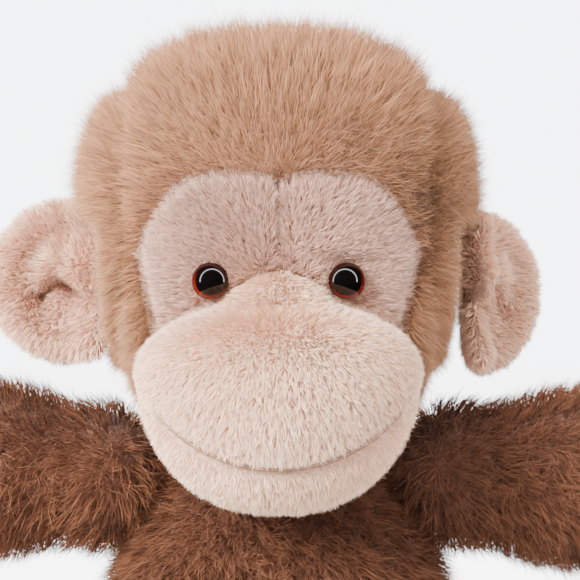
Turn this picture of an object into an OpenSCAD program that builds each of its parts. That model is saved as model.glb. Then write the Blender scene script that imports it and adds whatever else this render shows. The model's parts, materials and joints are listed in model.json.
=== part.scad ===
// Stuffed monkey, sitting, with its arms held out to the sides.
// Millimetres. +Z up, the face looks along -Y, the origin is under the seat.

/* [Head] */
// Width of the head between the side panels, under the pile
head_w = 130; // [112:1:156]
// Height of the head from the throat to the crown, under the pile
head_h = 140; // [120:1:168]
// How far the head leans out in front of the neck
head_forward = 11; // [6:1:15]
// Width of the crown panel between the two side panels
crown_w = 100; // [80:1:104]
// Width of the muzzle
muzzle_w = 92; // [78:1:104]
// Height of the muzzle
muzzle_h = 69; // [60:1:82]
// How far the muzzle's middle lies behind the front of the head
muzzle_back = 16; // [9:1:20]

/* [Eyes] */
// Diameter of an eye
eye_d = 12; // [9:0.5:14.5]
// Distance between the middles of the eyes
eye_spacing = 44; // [38:1:52]
// Diameter of the post behind an eye
eye_post_d = 3.6; // [3:0.1:4.4]

/* [Ears] */
// Height of an ear
ear_h = 57; // [48:1:62]
// How far an ear stands out from the side of the head
ear_reach = 38; // [34:1:46]
// Thickness of an ear with its filling
ear_t = 11; // [8:0.5:13]

/* [Trunk] */
// Width of the trunk at the belly
trunk_w = 132; // [112:1:158]
// Depth of the trunk from the chest to the back
trunk_d = 100; // [88:1:118]
// Height of the trunk from the seat to the neck
trunk_h = 142; // [118:1:171]
// Diameter of the ball of stuffing in the neck
neck_d = 46; // [40:1:50]
// Diameter of the pellet bag in the seat
pellet_bag_d = 62; // [52:1:70]

/* [Arms] */
// Diameter of an arm at its thickest
arm_d = 60; // [50:1:64]
// Length of an arm from the shoulder to the wrist
arm_l = 122; // [102:1:146]
// Diameter of a hand
hand_d = 50; // [42:1:58]

/* [Legs] */
// Diameter of a leg at its thickest
leg_d = 56; // [47:1:60]
// Length of a leg from the hip to the ankle
leg_l = 88; // [74:1:105]
// Length of a foot from its heel to the toes
foot_l = 66; // [56:1:78]
// Angle of each leg away from straight ahead
leg_splay = 20; // [14:1:26]

/* [Tail] */
// Diameter of the tail
tail_d = 18; // [15:1:22]
// Radius of the tail's curl
tail_bend_r = 44; // [37:1:53]

/* [Cloth] */
// Thickness of the fur fabric's backing and packed pile
cloth_t = 2.5; // [2:0.1:3]
// Gap between two panels at a seam
seam_gap = 0.3; // [0.2:0.05:0.4]
// Clearance between the stuffing and the cloth around it
stuffing_gap = 0.3; // [0.2:0.05:0.4]
// Clearance around each ball that a limb turns on
joint_gap = 0.5; // [0.4:0.05:0.8]
// Width of the channel that the mouth thread is pulled into
mouth_channel = 1.8; // [1.4:0.1:2.2]

/* [Hidden] */
$fn = 72;

tan_fur = [0.78, 0.59, 0.45];
brown_fur = [0.55, 0.37, 0.27];
pink_plush = [0.80, 0.66, 0.58];
cream_plush = [0.88, 0.76, 0.67];
filling_white = [0.93, 0.93, 0.90];
thread_brown = [0.45, 0.30, 0.24];
eye_black = [0.05, 0.04, 0.04];
iris_red = [0.42, 0.08, 0.04];
washer_white = [0.85, 0.85, 0.82];
pellet_grey = [0.70, 0.72, 0.74];

// The monkey's own left is at +X.
LEFT = 1;
RIGHT = -1;
FAR = 800;
PROFILE_STEPS = 14;

// Trunk: half a revolve on each side of a straight middle.
trunk_r = trunk_d / 2;
trunk_mid = trunk_w - trunk_d;
pellet_at = [0, trunk_r * 0.1, cloth_t + 5];
pellet_bag_h = 24;
belly_level = 0.34;
trunk_power = 2.2;
seat_share = 0.84;
top_share = 0.24;

// Head
head_r = head_w / 2;
head_power = 2.8;
head_taper = -0.05;
neck_ball = neck_d / 2;
neck_rise = 1;
neck_at = [0, 0, trunk_h + neck_rise];
head_lift = 1;
head_at = [0, -head_forward, trunk_h + head_h / 2 + head_lift];
crown_front_low = -head_h * 0.17;
face_lobe_r = head_w * 0.185;
face_lobe_x = head_w * 0.165;
face_top = head_h * 0.145;
face_dip = head_w * 0.025;
face_low = -head_h * 0.25;

// Muzzle: an egg that leans on the front of the head.
muzzle_drop = head_h * 0.403;
muzzle_at = head_at + [0, muzzle_back - head_r, -muzzle_drop];
muzzle_lean = 6;
muzzle_taper = -0.20;
muzzle_power = 2.3;
bridge_r = muzzle_w * 0.315;
bridge_at = [0, muzzle_w * 0.09, muzzle_h * 0.41];
smile_r = muzzle_w * 0.58;
smile_at = muzzle_at + [0, 0, muzzle_h * 0.53];
thread_sink = 1.1;
// The mouth thread ends this far behind the muzzle's middle on each side.
thread_reach = 8;

// Eyes
eye_turn = 12;
eye_rise = -head_h * 0.108;
eye_rim = 1.4;
eye_dome_r = eye_d * 0.58;
eye_gap = 0.15;
iris_t = 0.8;
post_l = 13;
washer_t = 1.6;
washer_d = eye_d * 1.05;
// The washer grips the post behind the cloth.
washer_low = cloth_t + 4;
// Depth of the head's surface at an eye, measured from the head's axis.
eye_level_r = head_r * egg_half(eye_rise * 2 / head_h, head_power, head_taper);
eye_depth = sqrt(eye_level_r * eye_level_r - eye_spacing * eye_spacing / 4);
eye_press = eye_d / 2 * sin(eye_turn);
iris_inset = 0.8;

// Ears
ear_turn_r = 4.5;
ear_rise = -head_h * 0.105;
ear_back = 4;
ear_cloth_t = 1.6;
ear_level_r = head_r * egg_half(ear_rise * 2 / head_h, head_power, head_taper);
ear_root_x = sqrt(ear_level_r * ear_level_r - ear_back * ear_back) + ear_turn_r * 0.6;
ear_root_l = ear_h * 0.72;

// Shoulders and arms
arm_r = arm_d / 2;
shoulder_ball = arm_r - 3;
shoulder_z = trunk_h - shoulder_ball + 11;
// The ball reaches the same way into the trunk's side whatever its size.
shoulder_out = trunk_w / 2 - trunk_r * 0.52 + shoulder_ball;
wad_share = 0.42;
limb_waist_angle = 60;
hand_r = hand_d / 2;
wrist_r = hand_r * 0.80;
hand_overlap = 5;
thumb_r = hand_r * 0.34;

// Hips, legs and feet
leg_r = leg_d / 2;
hip_ball = leg_r - 2;
hip_z = leg_r + 2;
hip_x = trunk_w * 0.30;
hip_y = -trunk_r * 0.96;
foot_r = leg_r * 0.94;
foot_toe_r = foot_r * 0.84;
ankle_r = leg_r * 0.80;

// Tail
tail_r = tail_d / 2;
tail_tip_r = tail_r * 1.08;
tail_z = tail_tip_r + 0.4;
tail_y = trunk_r * seat_share + tail_r * 0.5;
tail_arc = 150;
tail_open = 20;
tip_turn = [20, 30, 40];

// ---------------------------------------------------------------- shared shapes

// Half-width of the trunk's profile at a share t of its height.
function trunk_half(t) =
    t < belly_level
    ? 1 - (1 - seat_share) * pow((belly_level - t) / belly_level, trunk_power)
    : 1 - (1 - top_share) * pow((t - belly_level) / (1 - belly_level), trunk_power);

function trunk_profile(g) = [
    for (i = [0 : PROFILE_STEPS])
        let (t = i / PROFILE_STEPS)
        [trunk_half(t) * trunk_r - g, g + t * (trunk_h - 2 * g)]
];

// Half-width of a rounded egg at t from -1 (bottom) to 1 (top).
function egg_half(t, power, taper) = pow(1 - pow(abs(t), power), 1 / power) * (1 - taper * t);

function egg_profile(r, h, power, taper) = concat(
    [[0, -h]],
    [for (i = [1 : 2 * PROFILE_STEPS - 1])
        let (t = -cos(180 * i / (2 * PROFILE_STEPS)))
        [egg_half(t, power, taper) * r, t * h]],
    [[0, h]]
);

module egg(r, h, power, taper) {
    rotate_extrude()
        polygon(egg_profile(r, h, power, taper));
}

module on_side(side) {
    if (side == RIGHT)
        mirror([1, 0, 0])
            children();
    else
        children();
}

// Everything on one side of the plane x = 0 moved by shift, for cutting panels apart.
module beyond_x(shift) {
    translate([shift, -FAR / 2, -FAR / 2])
        cube(FAR);
}

// ---------------------------------------------------------------- head

// The head's outer form made smaller all round by g.
module head_form(g) {
    translate(head_at)
        egg(head_r - g, head_h / 2 - g, head_power, head_taper);
}

// A wide egg with a smaller ball above it, where the nose runs up between the eyes.
module muzzle_form(g) {
    translate(muzzle_at) {
        rotate([-muzzle_lean, 0, 0])
            egg(muzzle_w / 2 - g, muzzle_h / 2 - g, muzzle_power, muzzle_taper);
        translate(bridge_at)
            sphere(bridge_r - g);
    }
}

module neck_hollow() {
    translate(neck_at)
        sphere(neck_ball + joint_gap);
}

module head_shell() {
    difference() {
        head_form(0);
        head_form(cloth_t);
        neck_hollow();
        muzzle_form(-seam_gap);
        for (side = [LEFT, RIGHT]) {
            eye_pocket(side);
            ear_pocket(side);
        }
    }
}

// Outline of the face panel seen from the front: two lobes over the eyes with a dip between them.
module face_region(g) {
    lobe_z = face_top - face_lobe_r;
    brow_z = face_top - face_dip - g;
    translate([0, 0, head_at[2]])
        rotate([90, 0, 0])
            linear_extrude(FAR) {
                for (side = [LEFT, RIGHT])
                    translate([side * face_lobe_x, lobe_z])
                        circle(face_lobe_r - g);
                translate([-face_lobe_x, lobe_z - face_lobe_r / 2])
                    square([2 * face_lobe_x, brow_z - lobe_z + face_lobe_r / 2]);
                translate([g - face_lobe_x - face_lobe_r, face_low + g])
                    square([2 * (face_lobe_x + face_lobe_r - g), lobe_z - face_low - g]);
            }
}

module crown_region(g) {
    half = crown_w / 2 - g;
    translate([-half, -FAR / 2, head_at[2] + crown_front_low + g])
        cube([2 * half, FAR, FAR]);
    translate([-half, -head_forward + g, 0])
        cube([2 * half, FAR, FAR]);
}

module crown_panel() {
    color(tan_fur)
        intersection() {
            difference() {
                head_shell();
                face_region(-seam_gap / 2);
            }
            crown_region(seam_gap / 2);
        }
}

// Side of the head with its cheek, which runs on under the face to the muzzle.
module head_side_panel(side) {
    color(tan_fur)
        intersection() {
            difference() {
                head_shell();
                face_region(-seam_gap / 2);
                crown_region(-seam_gap / 2);
            }
            on_side(side)
                beyond_x(seam_gap / 2);
        }
}

module face_panel() {
    color(pink_plush)
        intersection() {
            head_shell();
            face_region(seam_gap / 2);
        }
}

// The mouth is a smile: a wide arc seen from the front.
module smile_region(r) {
    translate(smile_at)
        rotate([90, 0, 0])
            cylinder(h = FAR, r = r, center = true);
}

module muzzle_shell() {
    difference() {
        muzzle_form(0);
        muzzle_form(cloth_t);
        head_form(cloth_t);
        neck_hollow();
        for (side = [LEFT, RIGHT])
            eye_pocket(side);
    }
}

module muzzle_panel() {
    color(cream_plush)
        intersection() {
            muzzle_shell();
            smile_region(smile_r - mouth_channel / 2);
        }
}

module chin_panel() {
    color(cream_plush)
        difference() {
            muzzle_shell();
            smile_region(smile_r + mouth_channel / 2);
        }
}

module mouth_thread() {
    thread_half = mouth_channel / 2 - 0.3;
    color(thread_brown)
        intersection() {
            difference() {
                muzzle_form(thread_sink);
                muzzle_form(cloth_t);
                head_form(-seam_gap);
                translate([-FAR / 2, muzzle_at[1] + thread_reach, -FAR / 2])
                    cube(FAR);
            }
            difference() {
                smile_region(smile_r + thread_half);
                smile_region(smile_r - thread_half);
            }
        }
}

module head_stuffing() {
    g = cloth_t + stuffing_gap;
    color(filling_white)
        difference() {
            union() {
                head_form(g);
                muzzle_form(g);
            }
            neck_hollow();
            for (side = [LEFT, RIGHT]) {
                eye_pocket(side);
                ear_pocket(side);
            }
        }
}

// ---------------------------------------------------------------- eyes

// Puts an eye, drawn along +Z with its back at 0, in its place on the face.
module at_eye(side) {
    translate(head_at + [side * eye_spacing / 2, -eye_depth + eye_press, eye_rise])
        rotate([90, 0, side * eye_turn])
            children();
}

module eye_shape(g) {
    intersection() {
        translate([0, 0, eye_rim + g - eye_dome_r * cos(asin(eye_d / 2 / eye_dome_r))])
            sphere(eye_dome_r + g);
        translate([0, 0, -g])
            cylinder(h = eye_d, r = eye_d / 2 + g);
    }
}

module eye_pocket(side) {
    at_eye(side) {
        translate([0, 0, -eye_gap])
            cylinder(h = eye_d, r = eye_d / 2 + eye_gap);
        translate([0, 0, -post_l - stuffing_gap])
            cylinder(h = post_l + 1, r = eye_post_d / 2 + eye_gap);
        translate([0, 0, -washer_low - washer_t - stuffing_gap])
            cylinder(h = washer_t + 2 * stuffing_gap, r = washer_d / 2 + stuffing_gap);
    }
}

// Clear dome with the post moulded on behind it.
module eye(side) {
    color(eye_black)
        at_eye(side) {
            difference() {
                eye_shape(0);
                translate([0, 0, -1])
                    cylinder(h = 1 + iris_t, r = eye_d / 2 - iris_inset);
            }
        }
}

// Red ring with a black pupil, on the disc that carries the post.
module eye_iris(side) {
    color(iris_red)
        at_eye(side) {
            cylinder(h = iris_t - 0.05, r = eye_d / 2 - iris_inset - 0.05);
            translate([0, 0, -post_l])
                cylinder(h = post_l + 0.1, r = eye_post_d / 2);
        }
}

module eye_washer(side) {
    color(washer_white)
        at_eye(side)
            translate([0, 0, -washer_low - washer_t])
                difference() {
                    cylinder(h = washer_t, r = washer_d / 2);
                    translate([0, 0, -1])
                        cylinder(h = washer_t + 2, r = eye_post_d / 2);
                }
}

// ---------------------------------------------------------------- ears

// Puts an ear, drawn towards +X from its fold line, in its place.
module at_ear(side) {
    on_side(side)
        translate(head_at + [ear_root_x, ear_back, ear_rise])
            children();
}

// A lens with its rim in the XZ plane, cut off along the fold line.
module ear_form(g) {
    lens_r = (ear_h * ear_h / 4 + ear_t * ear_t / 4) / ear_t;
    difference() {
        translate([ear_reach - ear_h / 2, 0, 0])
            intersection_for (side = [LEFT, RIGHT])
                translate([0, side * (lens_r - ear_t / 2), 0])
                    sphere(lens_r - g, $fn = 240);
        translate([-FAR + g / 2, -FAR / 2, -FAR / 2])
            cube(FAR);
    }
}

// Rounded hem that the ear folds on.
module ear_root(r, l) {
    translate([0, 0, -l / 2])
        cylinder(h = l, r = r);
}

module ear_pocket(side) {
    at_ear(side)
        ear_root(ear_turn_r + joint_gap, ear_root_l + 2 * joint_gap);
}

module ear_layer(side, front) {
    color(pink_plush)
        at_ear(side)
            difference() {
                union() {
                    ear_form(0);
                    ear_root(ear_turn_r, ear_root_l);
                }
                ear_form(ear_cloth_t);
                translate([-FAR / 2, front ? -seam_gap / 2 : seam_gap / 2 - FAR, -FAR / 2])
                    cube(FAR);
            }
}

module ear_filling(side) {
    color(filling_white)
        at_ear(side)
            ear_form(ear_cloth_t + stuffing_gap);
}

// ---------------------------------------------------------------- trunk

module trunk_form(g) {
    for (side = [LEFT, RIGHT])
        translate([side * trunk_mid / 2, 0, 0])
            rotate_extrude()
                polygon(concat([[0, g]], trunk_profile(g), [[0, trunk_h - g]]));
    rotate([90, 0, 90])
        linear_extrude(trunk_mid, center = true) {
            polygon(concat([[0, g]], trunk_profile(g), [[0, trunk_h - g]]));
            mirror([1, 0])
                polygon(concat([[0, g]], trunk_profile(g), [[0, trunk_h - g]]));
        }
}

module limb_hollows() {
    neck_hollow();
    for (side = [LEFT, RIGHT]) {
        at_shoulder(side)
            sphere(shoulder_ball + joint_gap);
        at_hip(side)
            sphere(hip_ball + joint_gap);
    }
    at_tail()
        sphere(tail_tip_r + joint_gap);
}

module trunk_shell() {
    difference() {
        trunk_form(0);
        trunk_form(cloth_t);
        limb_hollows();
        translate([-FAR / 2, -FAR / 2, -FAR + cloth_t + seam_gap])
            cube(FAR);
    }
}

module chest_panel() {
    color(brown_fur)
        difference() {
            trunk_shell();
            translate([-FAR / 2, -seam_gap / 2, -FAR / 2])
                cube(FAR);
        }
}

module back_panel(side) {
    color(brown_fur)
        intersection() {
            trunk_shell();
            translate([-FAR / 2, seam_gap / 2, -FAR / 2])
                cube(FAR);
            on_side(side)
                beyond_x(seam_gap / 2);
        }
}

// Oval underside that the monkey sits on.
module seat_panel() {
    color(brown_fur)
        difference() {
            intersection() {
                trunk_form(0);
                translate([-FAR / 2, -FAR / 2, 0])
                    cube([FAR, FAR, cloth_t]);
            }
            limb_hollows();
        }
}

module trunk_stuffing() {
    color(filling_white)
        difference() {
            trunk_form(cloth_t + stuffing_gap);
            limb_hollows();
            translate(pellet_at)
                pellet_form(stuffing_gap);
        }
}

module pellet_form(g) {
    rotate_extrude() {
        translate([pellet_bag_d / 2 - pellet_bag_h / 2, pellet_bag_h / 2])
            intersection() {
                circle(pellet_bag_h / 2 + g);
                translate([0, -pellet_bag_h])
                    square(2 * pellet_bag_h);
            }
        translate([0, -g])
            square([pellet_bag_d / 2 - pellet_bag_h / 2, pellet_bag_h + 2 * g]);
    }
}

module pellet_bag() {
    color(pellet_grey)
        translate(pellet_at)
            pellet_form(0);
}

module neck_stuffing() {
    color(filling_white)
        translate(neck_at)
            sphere(neck_ball);
}

// ---------------------------------------------------------------- arms

module at_shoulder(side) {
    on_side(side)
        translate([shoulder_out, 0, shoulder_z])
            rotate([0, 90, 0])
                children();
}

// Profile of a limb from its root ball to its end, shrunk by g.
function limb_profile(ball, r, end_r, l, g) = concat(
    [for (i = [0 : PROFILE_STEPS])
        let (a = 180 - i * (180 - limb_waist_angle) / PROFILE_STEPS)
        [(ball - g) * sin(a), (ball - g) * cos(a)]],
    [for (i = [1 : PROFILE_STEPS])
        let (t = i / PROFILE_STEPS, s = ball * cos(limb_waist_angle))
        [limb_half(ball, r, end_r, t) - g, s + t * (l - s) - g * t]]
);

// Half-width of a limb between its waist (t = 0) and its end (t = 1).
function limb_half(ball, r, end_r, t) =
    t < 0.4
    ? ball * sin(limb_waist_angle) + (r - ball * sin(limb_waist_angle)) * sin(90 * t / 0.4)
    : r + (end_r - r) * (1 - cos(90 * (t - 0.4) / 0.6));

module limb_form(ball, r, end_r, l, g) {
    profile = limb_profile(ball, r, end_r, l, g);
    rotate_extrude()
        polygon(concat(profile, [[0, profile[len(profile) - 1][1]]]));
}

module limb_cloth(ball, r, end_r, l) {
    difference() {
        limb_form(ball, r, end_r, l, 0);
        limb_form(ball, r, end_r, l, cloth_t);
        translate([0, 0, -ball - 1])
            cylinder(h = ball, r = ball * wad_share);
    }
}

module limb_stuffing(ball, r, end_r, l) {
    difference() {
        limb_form(ball, r, end_r, l, cloth_t + stuffing_gap);
        sphere(ball * wad_share + joint_gap);
    }
}

module shoulder_stuffing(side) {
    color(filling_white)
        at_shoulder(side)
            sphere(shoulder_ball * wad_share);
}

module arm_cloth(side) {
    color(brown_fur)
        at_shoulder(side)
            limb_cloth(shoulder_ball, arm_r, wrist_r, arm_l);
}

module arm_stuffing(side) {
    color(filling_white)
        at_shoulder(side)
            limb_stuffing(shoulder_ball, arm_r, wrist_r, arm_l);
}

module hand_form(g) {
    translate([0, 0, arm_l + hand_r - hand_overlap]) {
        sphere(hand_r - g);
        translate([0, -hand_r * 0.75, -hand_r * 0.45])
            sphere(thumb_r - g);
    }
}

module hand_cloth(side) {
    color(pink_plush)
        at_shoulder(side)
            difference() {
                hand_form(0);
                hand_form(cloth_t);
                cylinder(h = arm_l + seam_gap, r = FAR);
            }
}

module hand_stuffing(side) {
    color(filling_white)
        at_shoulder(side)
            difference() {
                hand_form(cloth_t + stuffing_gap);
                cylinder(h = arm_l + seam_gap, r = FAR);
            }
}

// ---------------------------------------------------------------- legs

module at_hip(side) {
    on_side(side)
        translate([hip_x, hip_y, hip_z])
            rotate([90, 0, leg_splay])
                children();
}

module leg_cloth(side) {
    color(brown_fur)
        at_hip(side)
            limb_cloth(hip_ball, leg_r, ankle_r, leg_l);
}

module leg_stuffing(side) {
    color(filling_white)
        at_hip(side)
            limb_stuffing(hip_ball, leg_r, ankle_r, leg_l);
}

// A foot stands up from its heel, with the sole facing forward.
module foot_form(g) {
    heel_drop = hip_z - foot_r - 0.4;
    translate([0, -heel_drop, leg_l + foot_r * 0.62]) {
        sphere(foot_r - g);
        translate([0, foot_l - foot_r - foot_toe_r, 2])
            sphere(foot_toe_r - g);
    }
}

module foot_cloth(side) {
    color(pink_plush)
        at_hip(side)
            difference() {
                foot_form(0);
                foot_form(cloth_t);
                cylinder(h = leg_l + seam_gap, r = FAR);
            }
}

module foot_stuffing(side) {
    color(filling_white)
        at_hip(side)
            difference() {
                foot_form(cloth_t + stuffing_gap);
                cylinder(h = leg_l + seam_gap, r = FAR);
            }
}

// ---------------------------------------------------------------- tail

module at_tail() {
    translate([0, tail_y, tail_z])
        children();
}

// A stretch of the tail's bend, from one angle past its root to another.
module tail_bend(r, from, to) {
    translate([tail_bend_r, 0, 0])
        rotate([0, 0, 180 - to])
            rotate_extrude(angle = to - from)
                translate([tail_bend_r, 0])
                    circle(r);
}

// Curled on the ground, open where it is sewn on, with a full round tip.
module tail_cloth() {
    color(brown_fur)
        at_tail()
            difference() {
                union() {
                    tail_bend(tail_r, 0, tail_arc);
                    translate([tail_bend_r, 0, 0])
                        rotate([0, 0, 180 - tail_arc])
                            translate([tail_bend_r, 0, 0])
                                rotate(tip_turn)
                                    sphere(tail_tip_r);
                }
                tail_bend(tail_r - cloth_t, -tail_open, tail_arc - cloth_t);
            }
}

module tail_stuffing() {
    color(filling_white)
        at_tail()
            tail_bend(tail_r - cloth_t - stuffing_gap, 0, tail_arc - 2 * cloth_t);
}

// ---------------------------------------------------------------- output

crown_panel();
head_side_panel(LEFT);  // left_head_panel
head_side_panel(RIGHT);  // right_head_panel
face_panel();
muzzle_panel();
chin_panel();
mouth_thread();
head_stuffing();
eye(LEFT);  // left_eye
eye(RIGHT);  // right_eye
eye_iris(LEFT);  // left_eye_iris
eye_iris(RIGHT);  // right_eye_iris
eye_washer(LEFT);  // left_eye_washer
eye_washer(RIGHT);  // right_eye_washer
ear_layer(LEFT, true);  // left_ear_front
ear_layer(RIGHT, true);  // right_ear_front
ear_layer(LEFT, false);  // left_ear_back
ear_layer(RIGHT, false);  // right_ear_back
ear_filling(LEFT);  // left_ear_filling
ear_filling(RIGHT);  // right_ear_filling
neck_stuffing();
chest_panel();
back_panel(LEFT);  // left_back_panel
back_panel(RIGHT);  // right_back_panel
seat_panel();
trunk_stuffing();
pellet_bag();
shoulder_stuffing(LEFT);  // left_shoulder_stuffing
shoulder_stuffing(RIGHT);  // right_shoulder_stuffing
arm_cloth(LEFT);  // left_arm_cloth
arm_cloth(RIGHT);  // right_arm_cloth
arm_stuffing(LEFT);  // left_arm_stuffing
arm_stuffing(RIGHT);  // right_arm_stuffing
hand_cloth(LEFT);  // left_hand_cloth
hand_cloth(RIGHT);  // right_hand_cloth
hand_stuffing(LEFT);  // left_hand_stuffing
hand_stuffing(RIGHT);  // right_hand_stuffing
leg_cloth(LEFT);  // left_leg_cloth
leg_cloth(RIGHT);  // right_leg_cloth
leg_stuffing(LEFT);  // left_leg_stuffing
leg_stuffing(RIGHT);  // right_leg_stuffing
foot_cloth(LEFT);  // left_foot_cloth
foot_cloth(RIGHT);  // right_foot_cloth
foot_stuffing(LEFT);  // left_foot_stuffing
foot_stuffing(RIGHT);  // right_foot_stuffing
tail_cloth();
tail_stuffing();
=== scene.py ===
import json
import math

import bpy
import numpy as np
from mathutils import Matrix, Vector, kdtree

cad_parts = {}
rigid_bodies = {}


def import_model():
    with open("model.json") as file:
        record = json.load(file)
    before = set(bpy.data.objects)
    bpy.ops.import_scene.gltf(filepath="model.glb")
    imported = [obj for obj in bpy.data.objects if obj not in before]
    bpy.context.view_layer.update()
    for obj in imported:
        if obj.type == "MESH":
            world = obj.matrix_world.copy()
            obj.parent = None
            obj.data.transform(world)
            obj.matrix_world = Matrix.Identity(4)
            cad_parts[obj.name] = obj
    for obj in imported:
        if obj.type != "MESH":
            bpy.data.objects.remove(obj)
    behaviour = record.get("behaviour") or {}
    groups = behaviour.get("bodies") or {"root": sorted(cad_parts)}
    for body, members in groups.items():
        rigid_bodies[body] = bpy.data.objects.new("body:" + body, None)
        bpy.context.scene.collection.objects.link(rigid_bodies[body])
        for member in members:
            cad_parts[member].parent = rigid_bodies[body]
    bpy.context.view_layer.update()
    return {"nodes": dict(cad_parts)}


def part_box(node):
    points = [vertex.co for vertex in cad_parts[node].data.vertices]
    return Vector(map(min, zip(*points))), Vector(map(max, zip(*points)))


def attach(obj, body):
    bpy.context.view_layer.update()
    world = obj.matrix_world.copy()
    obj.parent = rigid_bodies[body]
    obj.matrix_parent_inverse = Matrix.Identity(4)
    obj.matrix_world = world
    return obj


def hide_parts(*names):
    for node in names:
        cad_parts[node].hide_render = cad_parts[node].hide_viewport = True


# Stuffed monkey: padded bodies grown from the fillings, with a pile of separate strands on each panel.
# Metres. The face looks along -Y and the monkey's own left is +X.

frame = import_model()
MM = 0.001

# ------------------------------------------------------------------ sizes, in millimetres
HEAD = np.array([0.0, -11.0, 213.0])
HEAD_R = 65.0
HEAD_HALF_H = 70.0
HEAD_POWER = 2.8
HEAD_TAPER = -0.05
CROWN_HALF = 50.0
CROWN_LOW = HEAD[2] - 23.5
MUZZLE = np.array([0.0, -60.0, 156.6])
MUZZLE_R = 46.0
MUZZLE_POWER = 2.3
MUZZLE_TAPER = -0.20
MUZZLE_HALF_H = 34.5
MUZZLE_LEAN = math.radians(6)
BRIDGE = np.array([0.0, -51.7, 184.9])
BRIDGE_R = 29.0
FACE_MIDDLE = np.array([0.0, -76.0, 203.0])
FACE_PIVOT = np.array([0.0, -80.0, 190.0])
MUZZLE_PIVOT = np.array([0.0, -72.0, 206.0])
SMILE_Z = 193.2
PUPIL_R = (4.6, 4.95)
# Band, in mm, over which painted light brightens the lower outer side of each eye's red ring.
RED_PAINTED_LIGHT = (-1.5, 5.5)
RING_EDGE_R = (5.4, 5.95)
SMILE_R = 53.4
MOUTH_DROP = 25.0
MOUTH_HALF = 38.0
FACE_TOP = 231.5
FACE_HALF = 45.5
FACE_CORNER = 24.0
FACE_LOW = 177.5
MUZZLE_TOP = 203.0
MUZZLE_SLOPE = 0.51
EYE_X = 22.0
EYE_Z = 197.9
EYE_R = 6.0
EYE_DOME_R = 6.96
EYE_RIM = 1.4
EYE_TURN = math.radians(12)
NECK = np.array([0.0, 0.0, 143.0])
SHOULDER = np.array([67.0, 0.0, 126.0])
WRIST_X = 189.0
HIP = np.array([39.6, -48.0, 30.0])
EAR = np.array([66.6, -7.0, 198.3])
TAIL_BEND = np.array([44.0, 46.5, 10.1])
SPLAY = math.radians(20)
NECK_CLEAR = 26.0
SHOULDER_CLEAR = 28.5
HIP_CLEAR = 27.5
TAIL_CLEAR = 11.0
NAPE_HALF = 13.0
LIMB_ROOT = -30.0
EAR_SEAM_HALF = 18.0
EAR_SEAM_X = 62.0
FLOOR_GAP = 0.35

SIM_FRAMES = 20
PRESSURE = 4.0

# ------------------------------------------------------------------ camera
EYE_PLANE_Y = -69.0
VIEW_DISTANCE = 450.0
VIEW_HALF_WIDTH = 94.0
VIEW_X = 3.7
VIEW_TURN = 0.5
VIEW_Z = 195.0


def deselect():
    if bpy.context.object and bpy.context.object.mode != "OBJECT":
        bpy.ops.object.mode_set(mode="OBJECT")
    bpy.ops.object.select_all(action="DESELECT")


def make_active(obj):
    deselect()
    obj.select_set(True)
    bpy.context.view_layer.objects.active = obj


def add_camera():
    turn = math.radians(VIEW_TURN)
    place = (VIEW_X - VIEW_DISTANCE * math.sin(turn), EYE_PLANE_Y - VIEW_DISTANCE * math.cos(turn), VIEW_Z)
    bpy.ops.object.camera_add(location=Vector(place) * MM, rotation=(math.radians(90), 0, -turn))
    camera = bpy.context.object
    camera.name = "view"
    camera.data.angle = 2 * math.atan(VIEW_HALF_WIDTH / VIEW_DISTANCE)
    camera.data.clip_start = 0.01
    camera.data.clip_end = 20
    bpy.context.scene.camera = camera


# ------------------------------------------------------------------ node helpers
def new_group(name, inputs, outputs):
    """An empty shader group with its named sockets; returns (group, input node, output node)."""
    group = bpy.data.node_groups.new(name, "ShaderNodeTree")
    for label, kind, value in inputs:
        socket = group.interface.new_socket(name=label, in_out="INPUT", socket_type=kind)
        socket.default_value = value
    for label, kind in outputs:
        group.interface.new_socket(name=label, in_out="OUTPUT", socket_type=kind)
    return group, group.nodes.new("NodeGroupInput"), group.nodes.new("NodeGroupOutput")


def math_node(tree, operation, a, b=None, clamp=False):
    node = tree.nodes.new("ShaderNodeMath")
    node.operation = operation
    node.use_clamp = clamp
    for i, value in enumerate((a, b)):
        if value is None:
            continue
        if isinstance(value, (int, float)):
            node.inputs[i].default_value = value
        else:
            tree.links.new(value, node.inputs[i])
    return node.outputs[0]


def mix_colour(tree, factor, a, b, blend="MIX"):
    node = tree.nodes.new("ShaderNodeMix")
    node.data_type = "RGBA"
    node.blend_type = blend
    for socket, value in ((node.inputs[0], factor), (node.inputs[6], a), (node.inputs[7], b)):
        if isinstance(value, (int, float, tuple)):
            socket.default_value = value
        else:
            tree.links.new(value, socket)
    return node.outputs[2]


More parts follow.
